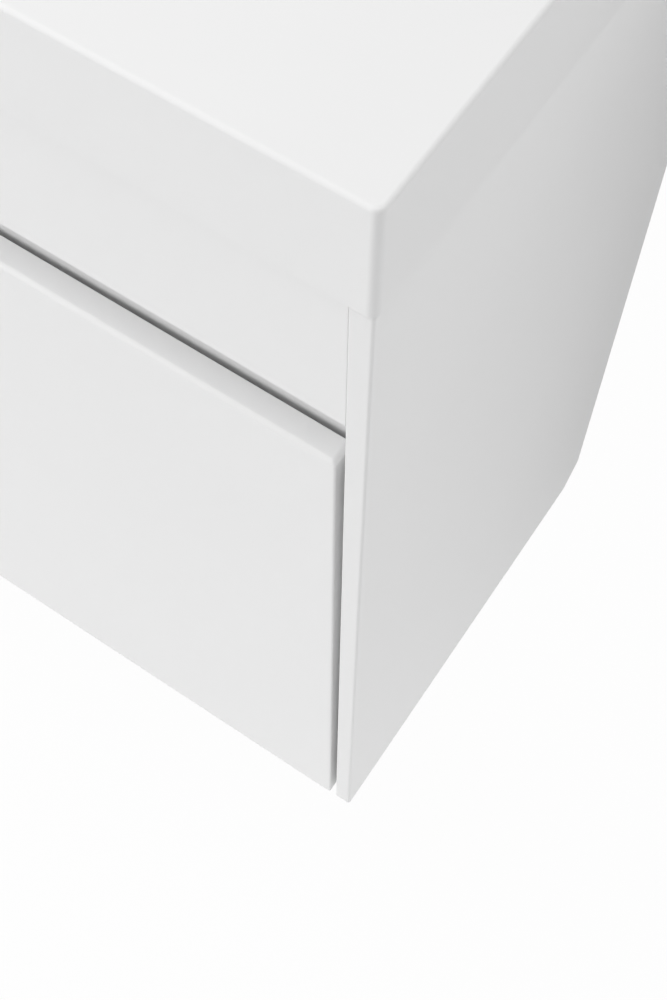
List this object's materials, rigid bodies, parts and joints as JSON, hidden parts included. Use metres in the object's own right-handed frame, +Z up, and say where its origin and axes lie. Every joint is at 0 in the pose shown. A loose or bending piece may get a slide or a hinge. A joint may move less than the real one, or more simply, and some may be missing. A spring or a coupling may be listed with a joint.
{
  "type": "floating vanity",
  "caption": "Wall hung vanity: white cast basin top over a lacquered carcass with a flush fascia, a recessed finger gap and one tall full width drawer on ball runners.",
  "frame": {"origin": "centre of the four wall fixing holes, on the wall plane behind the cabinet", "axes": "+X to the right seen from the front, +Y into the wall, +Z up"},
  "size_m": [0.8, 0.3, 0.65],
  "materials": {
    "cast_top": "semi-matt cast mineral resin, white",
    "lacquer": "satin white lacquer on board",
    "front_lacquer": "satin white lacquer on board",
    "box_board": "pale foil-faced board",
    "beech": "plain beech",
    "zinc_steel": "zinc-plated steel",
    "chrome": "polished chrome plate",
    "brass": "machined brass",
    "rubber": "black rubber",
    "clear_bumper": "soft translucent polyurethane",
    "fitting_plastic": "pale grey moulded plastic"
  },
  "bodies": {
    "carcass": {"basin_top": "cast_top", "side_panel_left": "lacquer", "side_panel_right": "lacquer", "bottom_panel": "lacquer", "upper_back_rail": "lacquer", "lower_back_rail": "lacquer", "recess_rail": "lacquer", "fascia_panel": "front_lacquer", "fascia_screws": "zinc_steel", "carcass_dowels": "beech", "cam_bolts": "zinc_steel", "cam_locks": "zinc_steel", "top_brackets": "zinc_steel", "bracket_screws": "zinc_steel", "hanger_body_left": "fitting_plastic", "hanger_body_right": "fitting_plastic", "hanger_hook_left": "zinc_steel", "hanger_hook_right": "zinc_steel", "hanger_adjusters": "zinc_steel", "hanger_screws": "zinc_steel", "wall_plate_left": "zinc_steel", "wall_plate_right": "zinc_steel", "waste_body": "chrome", "waste_seal_upper": "rubber", "waste_seal_lower": "rubber", "waste_nut": "brass", "plug_cartridge": "brass", "overflow_ring": "chrome", "bumper_pads": "clear_bumper", "runner_outer_left": "zinc_steel", "runner_outer_right": "zinc_steel", "runner_outer_screws": "zinc_steel"},
    "plug": {"waste_plug": "chrome", "plug_gasket": "rubber"},
    "cage_outer_left": {"ball_cage_outer_left": "zinc_steel"},
    "cage_outer_right": {"ball_cage_outer_right": "zinc_steel"},
    "middle_left": {"runner_middle_left": "zinc_steel"},
    "middle_right": {"runner_middle_right": "zinc_steel"},
    "cage_inner_left": {"ball_cage_inner_left": "zinc_steel"},
    "cage_inner_right": {"ball_cage_inner_right": "zinc_steel"},
    "drawer": {"runner_inner_left": "zinc_steel", "runner_inner_right": "zinc_steel", "runner_inner_screws": "zinc_steel", "drawer_front": "front_lacquer", "drawer_front_screws": "zinc_steel", "drawer_box_front": "box_board", "drawer_side_left": "box_board", "drawer_side_right": "box_board", "drawer_back": "box_board", "drawer_bottom": "box_board", "drawer_dowels": "beech", "gallery_rail_left": "chrome", "gallery_rail_right": "chrome", "gallery_sockets": "fitting_plastic"}
  },
  "joints": [
    {"name": "drawer_slide", "type": "slide", "parent": "carcass", "child": "drawer", "axis": [0, -1, 0], "range_m": [0, 0.25]},
    {"name": "middle_left_slide", "type": "slide", "parent": "carcass", "child": "middle_left", "axis": [0, -1, 0], "range_m": [0, 0.125]},
    {"name": "middle_right_slide", "type": "slide", "parent": "carcass", "child": "middle_right", "axis": [0, -1, 0], "range_m": [0, 0.125]},
    {"name": "cage_outer_left_slide", "type": "slide", "parent": "carcass", "child": "cage_outer_left", "axis": [0, -1, 0], "range_m": [0, 0.0625]},
    {"name": "cage_outer_right_slide", "type": "slide", "parent": "carcass", "child": "cage_outer_right", "axis": [0, -1, 0], "range_m": [0, 0.0625]},
    {"name": "cage_inner_left_slide", "type": "slide", "parent": "carcass", "child": "cage_inner_left", "axis": [0, -1, 0], "range_m": [0, 0.1875]},
    {"name": "cage_inner_right_slide", "type": "slide", "parent": "carcass", "child": "cage_inner_right", "axis": [0, -1, 0], "range_m": [0, 0.1875]},
    {"name": "plug_slide", "type": "slide", "parent": "carcass", "child": "plug", "axis": [0, 0, -1], "range_m": [0, 0.008]}
  ],
  "couplings": [
    {"joint": "middle_left_slide", "follows": "drawer_slide", "ratio": 0.5},
    {"joint": "middle_right_slide", "follows": "drawer_slide", "ratio": 0.5},
    {"joint": "cage_outer_left_slide", "follows": "drawer_slide", "ratio": 0.25},
    {"joint": "cage_outer_right_slide", "follows": "drawer_slide", "ratio": 0.25},
    {"joint": "cage_inner_left_slide", "follows": "drawer_slide", "ratio": 0.75},
    {"joint": "cage_inner_right_slide", "follows": "drawer_slide", "ratio": 0.75}
  ]
}
